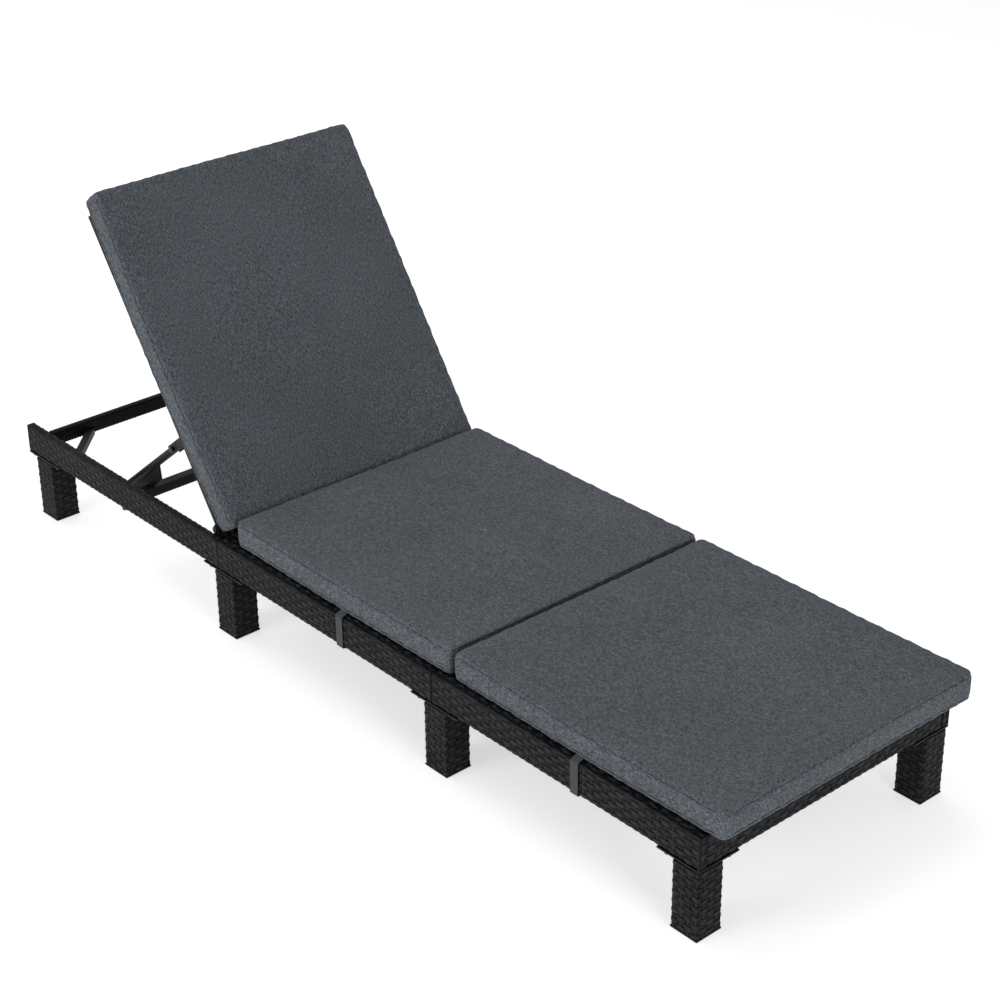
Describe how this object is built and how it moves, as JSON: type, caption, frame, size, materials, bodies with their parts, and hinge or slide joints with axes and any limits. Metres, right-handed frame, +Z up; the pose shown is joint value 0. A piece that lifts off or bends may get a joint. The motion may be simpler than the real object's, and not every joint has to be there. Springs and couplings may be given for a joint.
{
  "type": "reclining sun lounger",
  "caption": "Low reclining sun lounger with a wicker-wrapped steel frame on short square legs, a hinged backrest held by a notched folding prop, and thick boxed cushions held by straps.",
  "frame": {"origin": "on the ground under the middle of the lounger", "axes": "+X towards the foot end, +Y to the left of someone lying on it, +Z up"},
  "size_m": [2, 0.6155, 0.8001],
  "materials": {
    "cushion_fabric": "heathered woven polyester, blue-grey",
    "strap_webbing": "flat elastic webbing, grey",
    "wicker": "woven flat resin strands, near-black, satin",
    "glide_plastic": "moulded, matt",
    "fastener_steel": "dark plated steel",
    "bracket_steel": "powder coated, grey",
    "frame_steel": "powder coated, charcoal"
  },
  "bodies": {
    "base": {"bay_joint_bolts": "fastener_steel", "corner_brace_left": "frame_steel", "corner_brace_right": "frame_steel", "foot_cushion": "cushion_fabric", "foot_deck": "wicker", "foot_deck_crossbar": "frame_steel", "foot_joint_crossbar": "frame_steel", "foot_rail_cover": "wicker", "foot_rail_tube": "frame_steel", "foot_strap": "strap_webbing", "frame_screws": "fastener_steel", "head_bar_cover": "wicker", "head_bar_tube": "frame_steel", "head_joint_crossbar": "frame_steel", "hinge_bolts": "fastener_steel", "hinge_bracket_left": "frame_steel", "hinge_bracket_right": "frame_steel", "hinge_crossbar": "frame_steel", "leg_bolts": "fastener_steel", "leg_cover_foot_left": "wicker", "leg_cover_foot_right": "wicker", "leg_cover_head_left": "wicker", "leg_cover_head_right": "wicker", "leg_cover_hinge_left": "wicker", "leg_cover_hinge_right": "wicker", "leg_cover_seat_left": "wicker", "leg_cover_seat_right": "wicker", "leg_glides": "glide_plastic", "leg_posts_left": "frame_steel", "leg_posts_right": "frame_steel", "prop_crossbar": "frame_steel", "rail_cover_foot_left": "wicker", "rail_cover_foot_right": "wicker", "rail_cover_head_left": "wicker", "rail_cover_head_right": "wicker", "rail_cover_seat_left": "wicker", "rail_cover_seat_right": "wicker", "rail_tubes_left": "frame_steel", "rail_tubes_right": "frame_steel", "seat_cushion": "cushion_fabric", "seat_deck": "wicker", "seat_deck_crossbar": "frame_steel", "seat_joint_crossbar": "frame_steel", "seat_strap": "strap_webbing"},
    "backrest": {"back_cushion": "cushion_fabric", "back_strap": "strap_webbing", "backrest_bottom_tube": "frame_steel", "backrest_middle_tube": "frame_steel", "backrest_panel": "wicker", "backrest_side_tube_left": "frame_steel", "backrest_side_tube_right": "frame_steel", "backrest_top_tube": "frame_steel", "prop_brackets": "bracket_steel", "prop_pivot_bolts": "fastener_steel"},
    "prop": {"prop_arm_bolts": "fastener_steel", "prop_arm_left": "frame_steel", "prop_arm_right": "frame_steel", "prop_clevises": "bracket_steel", "prop_cross_tube": "frame_steel", "prop_racks": "frame_steel"}
  },
  "joints": [
    {"name": "backrest_hinge", "type": "hinge", "parent": "base", "child": "backrest", "pos_m": [-0.338, 0, 0.2092], "axis": [0, 1, 0], "range_deg": [-55.8, 0]},
    {"name": "prop_pivot", "type": "hinge", "parent": "backrest", "child": "prop", "pos_m": [-0.4572, 0, 0.3499], "axis": [0, 1, 0], "range_deg": [0, 94.6]}
  ],
  "couplings": [
    {"joint": "prop_pivot", "follows": "backrest_hinge", "ratio": -1.6953}
  ]
}
